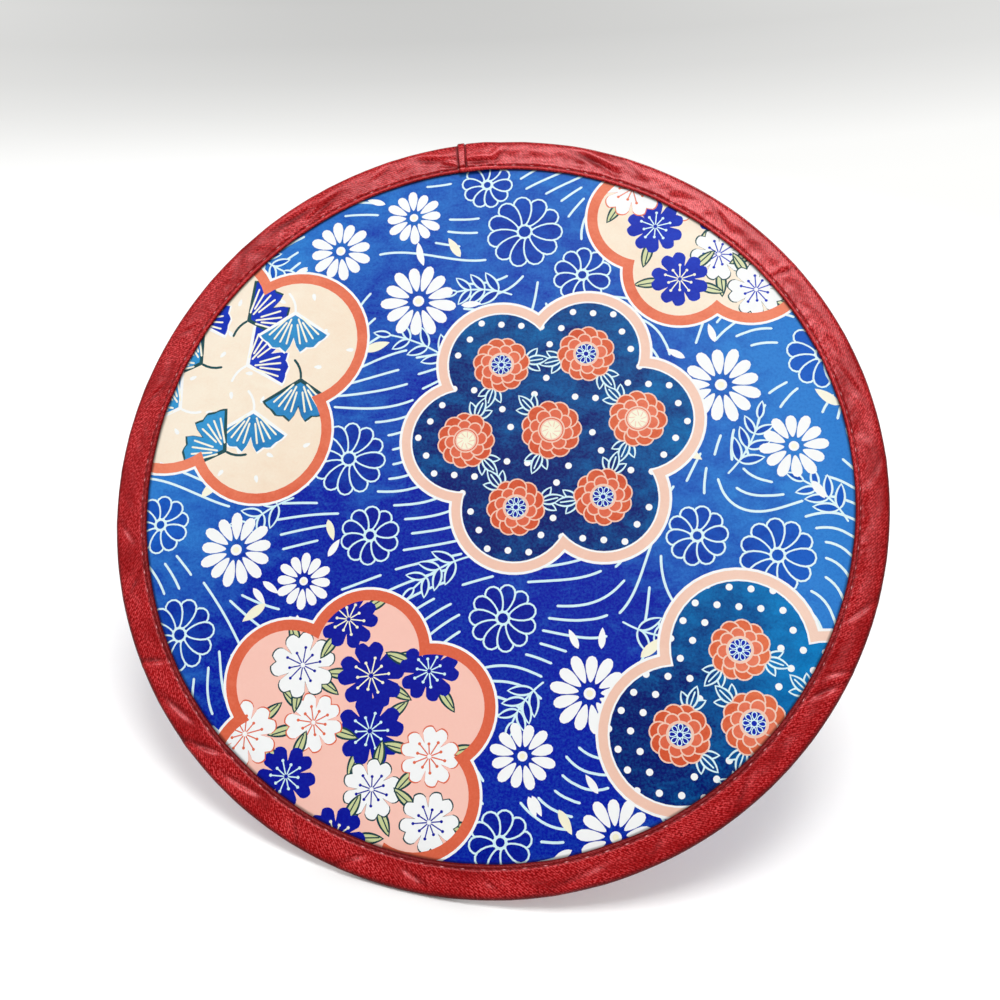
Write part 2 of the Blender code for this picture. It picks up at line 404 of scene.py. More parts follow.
def paintFanLeaf(sheet, base, angle, length, fill, line, rays=9):
    # A fan-shaped leaf with a wavy edge, a notch in its middle and pale rays
    sheet.stroke([onCircle(base, -0.45 * length * k / 4, angle + 0.10 * k) for k in range(5)], 0.8, line)
    for inset, ink in ((0.0, line), (0.6, fill)):
        points = [onCircle(base, inset * 2.5, angle)]
        for k in range(23):
            off = k / 22 * 2 - 1
            wave = 0.06 * math.cos(off * 5.5 * math.pi) * (1 - abs(off))
            notch = 0.26 * math.exp(-(off / 0.10) ** 2)
            spread = angle + off * (0.98 - inset / length * 1.6)
            points.append(onCircle(base, length * (1 - wave - notch) - inset, spread))
        sheet.paint(points, ink)
    for k in range(rays):
        off = (k + 0.5) / rays * 2 - 1
        if abs(off) > 0.12:
            start = onCircle(base, (0.34 if k % 2 else 0.22) * length, angle + off * 0.86)
            sheet.stroke([start, onCircle(base, 0.80 * length, angle + off * 0.88)], 0.62, "ivory")


def paintPond(sheet, centre, lobes, reach, bulge, turn):
    # Rosettes in the window's lobes and rows of dots between them
    hearts = ("ivory", "navy", "navy")
    spots = [(Vector(onCircle(centre, reach * 0.98, angle)), 9.2) for k, angle in around(lobes, turn)]
    spots.append((Vector(centre), 9.6))
    for row in range(-9, 10):
        for column in range(-9, 10):
            spot = Vector(centre) + Vector((column * 6.4 + (row % 2) * 3.2, row * 5.6))
            if all((spot - middle).length > size + 2.4 for middle, size in spots):
                sheet.dot(spot, 1.05, "white", 12)
    for k, (middle, size) in enumerate(spots):
        lean = turn + 2 * math.pi * k / lobes
        for off in (2.2, 4.2):
            paintTripleLeaf(sheet, onCircle(middle, size * 0.86, lean + off), lean + off, 7.0)
    for k, (middle, size) in enumerate(spots):
        paintRosette(sheet, tuple(middle), size, 0.4 * k, hearts[k % len(hearts)])


def paintMeadow(sheet, centre, lobes, reach, bulge, turn, count=12):
    # Notched blossoms and leaves strewn outwards from the middle
    tones = (("navy", "navy", "line"), ("white", "coral", "coral"),
             ("white", "twig", "navy"), ("navy", "navy", "ivory"))
    for k in range(count):
        middle = onCircle(centre, reach * 1.42 * math.sqrt((k + 0.35) / count), turn + 2.4 * k)
        lean = turn + 1.7 * k
        for off in (0.3, 1.35, 3.9):
            paintLeaf(sheet, onCircle(middle, 5.8, lean + off), lean + off, 8.6, "leaf", "twig")
        paintBlossom(sheet, middle, 9.2 if k % 3 else 10.4, lean, *tones[k % len(tones)])


def paintGrove(sheet, centre, lobes, reach, bulge, turn, count=9, flecks=46):
    # Fan-shaped leaves over small pale flecks
    for k in range(flecks):
        spot = onCircle(centre, reach * 1.7 * math.sqrt((k + 0.5) / flecks), 2.4 * k)
        sheet.paint(petalOutline(spot, 0.9 * k, 0.0, 2.6, 1.3, 8), "white")
    for k in range(count):
        base = onCircle(centre, reach * 1.30 * math.sqrt((k + 0.2) / count), turn + 2.4 * k)
        paintFanLeaf(sheet, base, turn + 2.1 * k, 14.5, "sky" if k % 3 else "navy", "twig" if k % 2 else "white")


# Windows: centre, number of lobes, their reach and roundness, turn, border, field and what fills it
windows = [
    ((17.0, 22.0), 6, 27.5, 16.5, 0.20, "peach", "pond", paintPond),
    ((-88.0, 34.0), 4, 23.0, 20.0, 0.55, "coral", "cream", paintGrove),
    ((-34.0, -78.0), 6, 26.0, 16.0, 0.45, "coral", "pink", paintMeadow),
    ((84.0, -62.0), 4, 22.0, 20.0, 0.25, "peach", "pond", paintPond),
    ((62.0, 97.0), 6, 22.0, 15.0, 0.10, "coral", "cream", paintMeadow),
]

# Daisies: centre, radius, number of petals
solidDaisies = [
    ((-30, 62), 12.5, 13), ((-58, 78), 10.5, 12), ((-35, 91), 9.5, 12), ((68, 40), 12.5, 13), ((91, 22), 10.5, 12),
    ((-78, -24), 12.0, 13), ((-55, -32), 9.0, 12), ((36, -58), 12.0, 13), ((18, -78), 10.0, 12), ((47, -98), 11.5, 13),
]
lineDaisies = [
    ((2, 88), 12.5, 11), ((22, 74), 9.5, 10), ((-12, 104), 8.5, 10), ((98, 52), 11.0, 11), ((88, -12), 11.5, 11),
    ((64, -8), 9.5, 10), ((-46, 8), 12.0, 12), ((-36, -16), 9.5, 10), ((-66, 100), 9.0, 10), ((-92, -52), 11.5, 11),
    ((8, -38), 10.5, 11), ((14, -103), 9.5, 10), ((-8, -57), 6.5, 9), ((-104, -18), 9.5, 10), ((52, 66), 8.0, 10),
]

# Sprigs and loose leaves: foot, direction, length
sprigs = [
    ((-14, 40), 2.5, 26), ((72, 12), 0.9, 20), ((-62, -6), 3.6, 22), ((44, -36), -0.4, 20), ((-4, -20), 3.5, 20),
    ((84, 66), 1.9, 18), ((-92, 82), -0.9, 20), ((0, 66), 2.9, 18), ((22, -56), 3.9, 15), ((108, 0), 2.2, 18),
]
looseLeaves = [
    ((-46, 44), 0.4, 9), ((-18, 78), 2.2, 8), ((50, 84), 4.4, 8), ((104, 36), 2.6, 9), ((56, 20), -0.5, 9),
    ((-92, -8), 0.9, 9), ((-66, -40), 3.9, 9), ((50, -46), 0.8, 9), ((0, -68), 2.4, 8), ((58, -76), 1.4, 8),
    ((30, -92), 5.3, 8), ((-50, -12), 5.1, 7), ((72, -30), 2.9, 8),
]


def traceStreams(keepClear, seeded):
    # Evenly spaced lines that follow a slow current and stop short of the flowers
    gap, stride, limit = (printSettings[name] for name in ("streamGap", "streamStep", "streamReach"))
    cells = {}

    def current(point):
        swirl = noise.noise(Vector((point.x / 62, point.y / 62, 4.2))) * 3.4
        return swirl + 0.9 + 0.006 * point.x

    def cellOf(point, dx=0, dy=0):
        return int(point.x // gap) + dx, int(point.y // gap) + dy

    def nearest(point):
        near = (other for dx in (-1, 0, 1) for dy in (-1, 0, 1) for other in cells.get(cellOf(point, dx, dy), ()))
        return min(((other - point).length for other in near), default=1e9)

    def blocked(point):
        return point.length > limit or any((point - middle).length < size for middle, size in keepClear)

    def trace(start, wanted):
        # grows both ways from its start until something is near
        path = [start]
        for way in (1, -1):
            while len(path) * stride < wanted * (0.5 if way == 1 else 1.0):
                ahead = path[-1] + heading(current(path[-1])) * stride * way
                if blocked(ahead) or nearest(ahead) < gap * 0.78:
                    break
                path.append(ahead)
            path.reverse()
        return path

    paths, waiting = [], []
    for tries in range(3600):
        if waiting:
            point = waiting.pop(0)
        else:
            reach, turn = limit * math.sqrt(seeded.random()), seeded.random() * 2 * math.pi
            point = Vector((reach * math.cos(turn), reach * math.sin(turn)))
        if blocked(point) or nearest(point) < gap * 0.96:
            continue
        path = trace(point, seeded.uniform(14, 44))
        if len(path) < 5:
            continue
        paths.append(path)
        for spot in path:
            cells.setdefault(cellOf(spot), []).append(spot)
        for k in (len(path) // 3, len(path) // 2, 2 * len(path) // 3):
            for way in (1, -1):
                waiting.append(path[k] + heading(current(path[k]) + math.pi / 2) * gap * way)
    return paths


def paintGround(sheet, seeded):
    keepClear = [(Vector(middle), size + 2.2) for middle, size, petals in solidDaisies + lineDaisies]
    keepClear += [(Vector(middle), reach + bulge * 0.45) for middle, lobes, reach, bulge, *rest in windows]
    for path in traceStreams(keepClear, seeded):
        sheet.stroke(path, printSettings["streamWidth"], "line")
    for sprig in sprigs:
        paintSprig(sheet, *sprig)
    for leaf in looseLeaves:
        paintLeaf(sheet, *leaf, "ivory")
    for daisy in lineDaisies:
        paintLineDaisy(sheet, *daisy, seeded.random())
    for middle, size, petals in solidDaisies:
        paintDaisy(sheet, middle, size, petals, seeded.random())
        for k in range(2):
            lean = seeded.random() * 6.28
            paintLeaf(sheet, onCircle(middle, size + 1.6, lean), lean + 0.2, 6.5, "white")


def paintWindow(sheet, shape, border, field, fill):
    band, ring, thread = printSettings["windowBand"], printSettings["windowRing"], 0.55
    sheet.window = None
    sheet.paint(lobedOutline(*shape, band + ring), "white")
    sheet.paint(lobedOutline(*shape, band), border)
    if border == "peach":
        sheet.paint(lobedOutline(*shape, thread), "white")
    sheet.window = sheet.paint(lobedOutline(*shape), field)
    fill(sheet, *shape)


def paintPrint():
    sheet = PrintSheet()
    sheet.dot((0, 0), printSettings["radius"], "ground", printSettings["edgePoints"])
    paintGround(sheet, random.Random(printSettings["seed"]))
    for *shape, border, field, fill in windows:
        paintWindow(sheet, shape, border, field, fill)
    return sheet


panelSettings = {
    "thickness": 0.20,
    "edgeHeight": 0.15,       # middle of the cloth above the disc's middle plane, under the tape
    "rise": 0.40,             # the stretched middle stands this much higher
    "slope": (103.4, 109.4),
    "waveHeight": 0.16,
    "waveLength": 46.0,
    "tugHeight": 0.16,        # small puckers that run inwards from the seam
    "tugLength": 9.0,
    "tugRim": 116,            # that length is measured along this radius
    "tugPlace": 104,          # they are deepest at this radius
    "tugReach": 7,
    "innerStep": 2.5,         # grid of the plain inner face
}


def clothHeight(x, y):
    s = panelSettings
    radius = math.hypot(x, y)
    low, high = s["slope"]
    share = min(1.0, max(0.0, (high - radius) / (high - low)))
    eased = share * share * (3 - 2 * share)
    height = s["edgeHeight"] + s["rise"] * eased
    height += s["waveHeight"] * eased * noise.noise(Vector((x / s["waveLength"], y / s["waveLength"], 1.7))) * 1.6
    turn, rim, length = math.atan2(y, x), s["tugRim"], s["tugLength"]
    tug = noise.noise(Vector((math.cos(turn) * rim / length, math.sin(turn) * rim / length, 7.1)))
    return height + s["tugHeight"] * tug * eased * math.exp(-((radius - s["tugPlace"]) / s["tugReach"]) ** 2)


def clothNormal(x, y, step=0.4):
    slopeX = (clothHeight(x + step, y) - clothHeight(x - step, y)) / (2 * step)
    slopeY = (clothHeight(x, y + step) - clothHeight(x, y - step)) / (2 * step)
    return Vector((-slopeX, -slopeY, 1)).normalized()


def cutFlat(points, outlines):
    return delaunay_2d_cdt(points, [], outlines, 1, 1e-4)


def isUpward(points, corners):
    a, b, c = (points[k] for k in corners)
    return (b - a).cross(c - a) >= 0


def cutPrint(sheet):
    # One flat net of triangles in which every printed edge is an edge, with the ink of each triangle
    points, outlines = [], []
    for outline, ink, window in sheet.shapes:
        corners = [Vector(point) for point in outline]
        area = sum(a.cross(b) for a, b in zip(corners, corners[1:] + corners[:1]))
        outlines.append(list(range(len(points), len(points) + len(corners))))
        points += corners if area > 0 else corners[::-1]
    step, edge = printSettings["gridStep"], printSettings["radius"] - 2
    rows = int(edge // step)
    for row in range(-rows, rows + 1):
        for column in range(-rows, rows + 1):
            spot = Vector(((column + 0.5 * (row % 2)) * step, row * step * 0.93))
            if spot.length < edge:
                points.append(spot)
    net = cutFlat(points, outlines)
    kept = []
    for corners, over in zip(net[2], net[5]):
        if 0 in over:
            top = max(k for k in over if sheet.shapes[k][2] is None or sheet.shapes[k][2] in over)
            kept.append((corners if isUpward(net[0], corners) else corners[::-1], sheet.shapes[top][1]))
    return net[0], kept


def makePanel(name, points, kept, turned):
    # The printed face, a plain inner face one thickness below it and the cut edge between them
    half = panelSettings["thickness"] / 2
    flatTurn = Matrix.Rotation(math.radians(printSettings["turn"]), 2)
    flatBack = flatTurn.inverted()
    used = sorted({k for corners, ink in kept for k in corners})
    number = {old: new for new, old in enumerate(used)}
    flat = [flatTurn @ points[k] for k in used]
    verts = [Vector((x, y, clothHeight(x, y) + half)) for x, y in flat]
    normals = [clothNormal(x, y) for x, y in flat]
    faces = [[number[k] for k in corners] for corners, ink in kept]
    faceInks = [ink for corners, ink in kept]
    # the cut edge: edges that only one triangle has
    edges = dict.fromkeys(pair for face in faces for pair in zip(face, face[1:] + face[:1]))
    rim = {a: b for a, b in edges if (b, a) not in edges}
    loop = [next(iter(rim))]
    while rim[loop[-1]] != loop[0]:
        loop.append(rim[loop[-1]])
    under = {k: len(verts) + step for step, k in enumerate(loop)}
    verts += [verts[k] - Vector((0, 0, 2 * half)) for k in loop]
    normals += [Vector((0, 0, -1))] * len(loop)
    faces += [[b, a, under[a], under[b]] for a, b in zip(loop, loop[1:] + loop[:1])]
    # the inner face
    step, edge = panelSettings["innerStep"], printSettings["radius"] - 4
    rows = int(edge // step)
    grid = [Vector((column * step, row * step)) for row in range(-rows, rows + 1) for column in range(-rows, rows + 1)]
    inner = [verts[k].xy for k in loop]
    net = cutFlat(inner + [spot for spot in grid if spot.length < edge], [list(range(len(inner)))])
    seen = []
    for spot, before in zip(net[0], net[3]):
        if before and before[0] < len(inner):
            seen.append(under[loop[before[0]]])
        else:
            seen.append(len(verts))
            verts.append(Vector((spot.x, spot.y, clothHeight(spot.x, spot.y) - half)))
            normals.append(-clothNormal(spot.x, spot.y))
    for corners in net[2]:
        faces.append([seen[k] for k in (corners[::-1] if isUpward(net[0], corners) else corners)])
    faceInks += ["ground"] * (len(faces) - len(faceInks))

    mesh = bpy.data.meshes.new(name)
    mesh.from_pydata(verts, [], faces)
    for tone, layer in enumerate(("inkDark", "inkLight")):
        colours = [value for face, ink in zip(faces, faceInks) for value in (*inks[ink][tone], 1.0) * len(face)]
        mesh.color_attributes.new(layer, "FLOAT_COLOR", "CORNER").data.foreach_set("color", colours)
    flatMap = [value / clothSpan for face in faces for k in face for value in flatBack @ verts[k].xy]
    mesh.uv_layers.new(name="clothUv").data.foreach_set("uv", flatMap)
    mesh.shade_smooth()
    mesh.normals_split_custom_set_from_vertices(normals)
    mesh.transform(discToWorld @ (Matrix.Rotation(math.pi, 4, "Y") if turned else Matrix.Identity(4)))
    mesh.update()
    print(name, len(mesh.polygons), "faces")
    return addObject(name, mesh)


print("painting the print")
printPoints, printFaces = cutPrint(paintPrint())
frontPanel = makePanel("frontPrintedSatin", printPoints, printFaces, False)
backPanel = makePanel("backPrintedSatin", printPoints, printFaces, True)


# The binding tape

tapeSettings = {
    "thickness": 0.25,
    "fold": 110.0,            # radius of the inner folded edge
    "hem": 3.0,
    "hemHeight": 0.41,        # middle of the turned-under cloth above the disc's middle plane
    "foldRound": 0.22,
    "stitchLine": 111.5,
    "stitchDip": 1.02,        # middle of the cloth there
    "closer": 0.36,           # how much nearer the fold the seam runs at the top
    "hoop": 118.45,
    "channel": 1.44,          # middle of the cloth round the hoop
    "seamAngle": 107.8,
    "lapLength": 8.5,
    "lapRamp": 6.0,
    "lapRise": 0.70,
    "lapEase": 113.6,         # from this radius to the hoop the rise falls to half
    "turnedEnd": 2.2,         # the finishing end is turned under this far
    "endRise": 0.30,
    "endCrowd": (0.955, 4.0),  # from this share of the stations on, the rest crowd into this length
    "stations": 1000,
    "puckerHeight": 0.30,
    "rollHeight": 0.26,
    "dimpleDepth": 0.09,      # at the needle holes
    "seed": 5,
}

# Creases: disc angle, distance in from the rim (behind the disc where negative), lie in degrees from
# the rim's run, half length, half width, depth
creases = [
    (86.0, 4.6, -14, 8.0, 0.80, 0.55), (80.5, 2.8, -20, 5.0, 0.60, 0.30), (104.1, 7.7, 0, 4.2, 0.75, 0.55),
    (101.1, 6.2, 50, 2.4, 0.70, 0.45), (112.8, 4.6, -14, 5.2, 0.75, 0.55), (109.4, 7.9, -18, 2.4, 0.45, 0.50),
    (120.0, 4.0, 25, 5.0, 0.80, 0.30), (137.5, 4.2, -4, 9.5, 0.95, 0.62), (131.5, 6.4, 12, 6.0, 0.80, 0.45),
    (147.5, 3.4, 20, 8.0, 0.90, 0.26), (162.5, 5.2, -30, 4.5, 0.70, 0.26), (174.5, 5.0, -24, 7.0, 0.70, 0.30),
    (196.5, 4.0, 30, 6.0, 0.70, 0.30), (205.5, 5.4, -36, 5.0, 0.70, 0.30), (218.0, 4.4, 66, 4.4, 0.75, 0.62),
    (226.0, 4.8, 18, 6.5, 0.95, 0.50), (233.0, 4.2, 30, 7.5, 0.80, 0.60), (241.5, 5.6, 14, 8.0, 0.90, 0.42),
    (252.5, 5.0, -48, 5.0, 0.80, 0.34), (261.5, 3.8, 40, 6.0, 0.80, 0.34), (272.0, 4.8, -24, 4.5, 0.75, 0.45),
    (282.5, 5.4, -40, 4.0, 0.70, 0.26), (294.0, 4.0, 14, 9.0, 0.90, 0.34), (307.5, 5.6, 40, 4.0, 0.70, 0.22),
    (321.5, 4.6, 28, 6.0, 0.80, 0.30), (340.5, 5.0, -34, 5.0, 0.75, 0.55), (344.0, 3.2, -52, 4.0, 0.70, 0.36),
    (353.5, 4.6, -36, 7.0, 0.80, 0.30), (14.5, 4.4, -28, 5.0, 0.75, 0.24), (26.5, 4.2, 18, 8.0, 0.80, 0.24),
    (49.0, 4.4, 72, 4.0, 0.60, 0.40), (63.5, 4.6, -22, 7.0, 0.80, 0.24),
    (68.5, -4.6, 24, 8.0, 0.85, 0.46), (124.5, -4.0, -32, 7.0, 0.80, 0.44), (156.5, -4.8, 42, 6.0, 0.75, 0.40),
    (192.5, -4.2, -28, 8.0, 0.80, 0.44), (227.5, -4.4, 34, 7.0, 0.80, 0.52), (256.5, -5.0, -40, 6.0, 0.75, 0.42),
    (291.5, -4.0, 22, 9.0, 0.85, 0.40), (336.5, -4.6, 38, 6.0, 0.75, 0.44), (18.5, -4.4, -30, 7.0, 0.80, 0.40),
]


def smoothThrough(points, perSpan):
    # A curve through all the points, in the plane
    out = []
    for k in range(len(points) - 1):
        before, start = points[max(k - 1, 0)], points[k]
        end, after = points[k + 1], points[min(k + 2, len(points) - 1)]
        for step in range(perSpan):
            t = step / perSpan
            out.append(0.5 * (2 * start + (end - before) * t + (2 * before - 5 * start + 4 * end - after) * t * t
                              + (3 * start - before - 3 * end + after) * t ** 3))
    return out + [points[-1]]


def tapeMiddle():
    # The middle of the cloth from the front hem round the hoop to the rim, as (radius, height)
    s = tapeSettings
    fold, hoop, ring, seam = s["fold"] + s["thickness"] / 2, s["hoop"], s["channel"], s["stitchLine"]
    low, curl = s["hemHeight"], s["foldRound"]
    hem = [(s["fold"] + s["hem"], low), (fold + 1.4, low)]
    turn = [(fold + curl - curl * math.sin(a), low + curl - curl * math.cos(a)) for a in (0.79, 1.57, 2.36)]
    leg = [
        (fold + 0.20, 0.86), (fold + 0.40, 1.08), (fold + 0.80, 1.16), (seam, s["stitchDip"]), (seam + 0.30, 1.20),
        (seam + 0.75, 1.27), (113.1, 1.22), (114.1, 1.25), (115.4, 1.38), (116.7, 1.50), (hoop, ring)]
    wrap = [(hoop + ring * math.sin(a), ring * math.cos(a)) for a in (0.30, 0.62, 0.94, 1.26)]
    hem, turn, leg, wrap = ([Vector(point) for point in part] for part in (hem, turn, leg, wrap))
    return [*hem, *turn, *smoothThrough(leg, 2), *wrap], len(hem) + len(turn)


def tapeProfile():
    # A closed outline of the folded cloth, with what each point needs to be lifted later
    s = tapeSettings
    half, inLaps = tapeMiddle()
    rim = Vector((s["hoop"] + s["channel"], 0))
    line = half + [rim] + [Vector((point.x, -point.y)) for point in reversed(half)]
    count = len(line)
    away = []
    for k in range(count):
        ahead = (line[min(k + 1, count - 1)] - line[max(k - 1, 0)]).normalized()
        away.append(Vector((-ahead.y, ahead.x)))
    across = [0.0]
    for a, b in zip(line, line[1:]):
        across.append(across[-1] + (b - a).length)
    # the cloth's outer side faces away from the hem; its inner side needs fewer points
    keepInner = [k for k in range(count) if k < 6 or k > count - 7 or k % 2 == len(half) % 2]
    sides = [(k, 1) for k in range(count)] + [(k, -1) for k in reversed(keepInner)]
    rows = []
    for k, side in sides:
        point = line[k] + away[k] * side * s["thickness"] / 2
        far = min(1.0, max(0.0, (line[k].x - s["lapEase"]) / (s["hoop"] - s["lapEase"])))
        # a leg lifts away from the hoop, a hem straight from the disc's middle plane
        isLeg = inLaps <= k < count - inLaps
        outwards = away[k] if isLeg else Vector((0, math.copysign(1, point.y)))
        rows.append({
            "profileRadius": point.x, "profileHeight": point.y, "awayRadius": outwards.x, "awayHeight": outwards.y,
            "across": across[len(half)] - across[k], "lapLift": s["lapRise"] * (1 - 0.5 * far),
            "freeShare": 1.0 if isLeg else 0.25})
    return rows


def storeFloats(mesh, name, values):
    mesh.attributes.new(name, "FLOAT", "POINT").data.foreach_set("value", values)


def closedLoop(name, rows):
    mesh = bpy.data.meshes.new(name)
    corners = [(row["profileRadius"], row["profileHeight"], 0) for row in rows]
    mesh.from_pydata(corners, [(k, (k + 1) % len(rows)) for k in range(len(rows))], [])
    for key in rows[0]:
        storeFloats(mesh, key, [row[key] for row in rows])
    return addObject(name, mesh)


def creaseGroup():
    # One groove with a low shoulder beside it, at its own place on the tape, with painted shade in the groove and
    # painted highlight on the shoulder
    names = ("Angle", "Across", "Lie", "Reach", "Width", "Depth", "At Angle", "At Across")
    tree, get, result = newGroup("tapeCrease", "GeometryNodeTree", [(name, "Float", 1.0) for name in names],
                                 [("Lift", "Float"), ("ShadeAndHighlight", "Float")])
    # the shortest way round the rim, as millimetres along it
    along = calc("WRAP", get["At Angle"] - get["Angle"], math.pi, -math.pi) * tapeSettings["hoop"]
    inwards, width = get["At Across"] - get["Across"], get["Width"]
    cosine, sine = calc("COSINE", get["Lie"]), calc("SINE", get["Lie"])
    run = bell((along * cosine + inwards * sine) / get["Reach"])
    off = inwards * cosine - along * sine
    shoulder = bell((off + width * 1.9) / (width * 1.5))
    shape = bell(off / width) * -1.0 + shoulder * 0.75
    (shape * run * get["Depth"]).feed(result, "Lift")
    # painted shade along the groove, and painted highlight (negative values) on its shoulder
    tone = bell((off - width * 0.35) / width) - shoulder * 0.55
    (tone * run * get["Depth"]).feed(result, "ShadeAndHighlight")
    return tree


def seamShift(angle):
    # How much closer to the fold the seam keeps at the top, as sewn by eye
    return fade(calc("SINE", angle), -0.2, 0.95, 0.0, tapeSettings["closer"])


def keepResult(result, mesh, material):
    real = add(mesh.tree, "GeometryNodeRealizeInstances", {"Geometry": mesh})
    add(mesh.tree, "GeometryNodeSetMaterial", {"Geometry": real, "Material": material}).feed(result, "Geometry")


def tapeTree(stitchAt):
    # stitchAt is how far the stitches lie from the rim, along the cloth
    s = tapeSettings
    names = ("Start Angle", "Sweep", "Lap Angle", "Ramp Angle", "Turned End", "End Rise", "Pucker Height",
             "Roll Height", "Seed")
    inputs = [("Profile", "Geometry", None), ("Stations", "Int", 100), ("Stitch Count", "Int", 100),
              *((name, "Float", 1.0) for name in names), ("Satin", "Material", None)]
    tree, get, result = newGroup("sweepTape", "GeometryNodeTree", inputs, [("Geometry", "Geometry")])
    outline = add(tree, "GeometryNodeMeshToCurve", {"Mesh": get["Profile"]})
    arc = {"Resolution": get["Stations"], "Radius": s["hoop"], "Sweep Angle": 6.0}
    capture = addNode(tree, "GeometryNodeCaptureAttribute", domain="POINT")
    capture.capture_items.new("FLOAT", "Along")
    add(tree, "GeometryNodeCurveArc", arc, "Curve").feed(capture, 0)
    add(tree, "GeometryNodeSplineParameter", None, "Factor").feed(capture, "Along")
    path, along = (Value(tree, capture.outputs[key]) for key in (0, "Along"))
    sweep = add(tree, "GeometryNodeCurveToMesh", {"Curve": path, "Profile Curve": outline, "Fill Caps": True})

    # most stations are even; the last few crowd into the turned-under end
    crowd, crowdLength = s["endCrowd"]
    endShare = crowdLength / s["hoop"] / get["Sweep"]
    even = along / crowd * (1.0 - endShare)
    late = (along - crowd) / (1 - crowd) * endShare + (1.0 - endShare)
    isLate = calc("GREATER_THAN", along, crowd)
    share = isLate * late + (1.0 - isLate) * even
    angle = get["Start Angle"] + share * get["Sweep"]
    toEnd = (1.0 - share) * get["Sweep"] * s["hoop"]
    cosine, sine = calc("COSINE", angle), calc("SINE", angle)

    profile = ("profileRadius", "profileHeight", "awayRadius", "awayHeight", "across", "lapLift", "freeShare")
    radius, height, outR, outH, across, lap, free = (
        add(tree, "GeometryNodeInputNamedAttribute", {"Name": name}, "Attribute", data_type="FLOAT")
        for name in profile)
    inFrom = calc("ABSOLUTE", across)

    # where the finishing end climbs over the start
    past = angle - (get["Start Angle"] + get["Sweep"] - (get["Lap Angle"] + get["Ramp Angle"]))
    climb = fade(past / get["Ramp Angle"], 0.0, 1.0)
    nearEnd = fade(toEnd, get["Turned End"], get["Turned End"] + 0.35, 1.0, 0.0)
    pressed = bell((toEnd - (get["Turned End"] + 0.42)) / 0.36)
    endRoll = fade(toEnd, 0.0, 0.35, -1.0, 0.0)
    lapLift = climb * lap + nearEnd * get["End Rise"] + endRoll * 0.34 - pressed * 0.16

    def rimNoise(length, shear, acrossLength, offset):
        # waves that are the same for both layers of the lap, because they only know the angle
        turned = angle + inFrom * (shear / s["hoop"])
        scale = s["hoop"] / length
        depth = across / acrossLength + (get["Seed"] + offset)
        return (noiseAt(vector(calc("COSINE", turned) * scale, calc("SINE", turned) * scale, depth)) - 0.5) * 2.0

    # short puckers pulled by the stitches, longer rolls over the whole width
    offStitch = inFrom - stitchAt
    pinned = bell(offStitch, 2.2)
    tight = rimNoise(2.3, 0.55, 5.0, 0.0) * bell(offStitch, 0.16)
    onBody = fade(inFrom, stitchAt + 1.0, stitchAt - 1.4)
    rolls = rimNoise(9.0, 1.3, 9.0, 3.0) + rimNoise(5.0, -1.6, 6.0, 9.0) * 0.6
    relief = tight * (1.0 - pinned * 0.75) * get["Pucker Height"] + rolls * onBody * get["Roll Height"]
    # the needle holes pull small dimples
    beat = calc("COSINE", angle * get["Stitch Count"])
    relief = relief - calc("POWER", beat * 0.5 + 0.5, 3.0) * pinned * s["dimpleDepth"]

    # painted shade in the cloth's colour: in the stitch groove, along the pressed line at the join, as painted shadow
    # at the finishing end and on the lower layer beside it, and in the creases
    seam = bell(offStitch / 0.28) * 0.75
    joinShade = pressed * fade(inFrom, stitchAt + 0.3, stitchAt - 0.4) * 0.95
    endShadow = bell(toEnd / 0.45)
    fromSeam = (angle - get["Start Angle"] - get["Lap Angle"]) * s["hoop"]
    shade = seam + joinShade + (endShadow + bell((fromSeam - 0.1) / 0.50))
    # painted shade: the underside of the rim and the lip at the fold are darkened most low down, where little light
    # gets
    low = fade(sine, 0.9, -0.6, 0.35, 1.0)
    rimShade = fade(inFrom, 0.8, low * 1.7 + 1.0, 1.0, 0.0) * (low * 0.4 + 0.6)
    lip = fade(inFrom, stitchAt, stitchAt + 0.45, 0.0, 0.75) * low * low
    lip = lip + fade(inFrom, stitchAt + 1.2, stitchAt + 1.7, 0.0, 0.9)
    # painted highlight: high up, the lip's crown is painted as the palest line of the tape
    crown = bell((offStitch - 0.75) / 0.34)
    lip = lip - crown * fade(low, 0.35, 0.95, 1.0, 0.0)
    shade = shade + (rimShade + lip)

    crease = creaseGroup()
    for angleDegrees, acrossAt, lie, reach, width, depth in creases:
        made = useGroup(tree, "GeometryNodeGroup", crease, {
            "Angle": math.radians(angleDegrees), "Across": float(acrossAt), "Lie": math.radians(lie), "Reach": reach,
            "Width": width, "Depth": depth, "At Angle": angle, "At Across": across})
        relief = relief + made["Lift"]
        shade = shade + made["ShadeAndHighlight"] * 1.5

    # beside the hoop the cloth may only swell, so that the hoop keeps its room
    byHoop = fade(inFrom, 4.4, 2.6)
    lift = calc("MAXIMUM", relief * (1.0 - byHoop * 0.55), relief * (1.0 - byHoop)) * free + lapLift
    # the folded edge wanders a little
    wander = rimNoise(13.0, 0.0, 400.0, 21.0) * fade(inFrom, stitchAt, stitchAt + 1.5, 0.0, 0.26)
    newRadius = radius + (wander - seamShift(angle) * bell(offStitch, 0.80)) + lift * outR
    place = vector(newRadius * cosine, newRadius * sine, height + lift * outH)
    mesh = add(tree, "GeometryNodeSetPosition", {"Geometry": sweep, "Position": place})
    satinUv = vector(angle * s["hoop"] / clothSpan, across / clothSpan)
    for name, value, kind, domain in (("clothUv", satinUv, "FLOAT2", "CORNER"),
                                      ("paintedShadeAndHighlight", calc("MINIMUM", shade, 1.0), "FLOAT", "POINT")):
        mesh = add(tree, "GeometryNodeStoreNamedAttribute", {"Geometry": mesh, "Name": name, "Value": value},
                   data_type=kind, domain=domain)
    keepResult(result, add(tree, "GeometryNodeSetShadeSmooth", {"Geometry": mesh}), get["Satin"])
    return tree


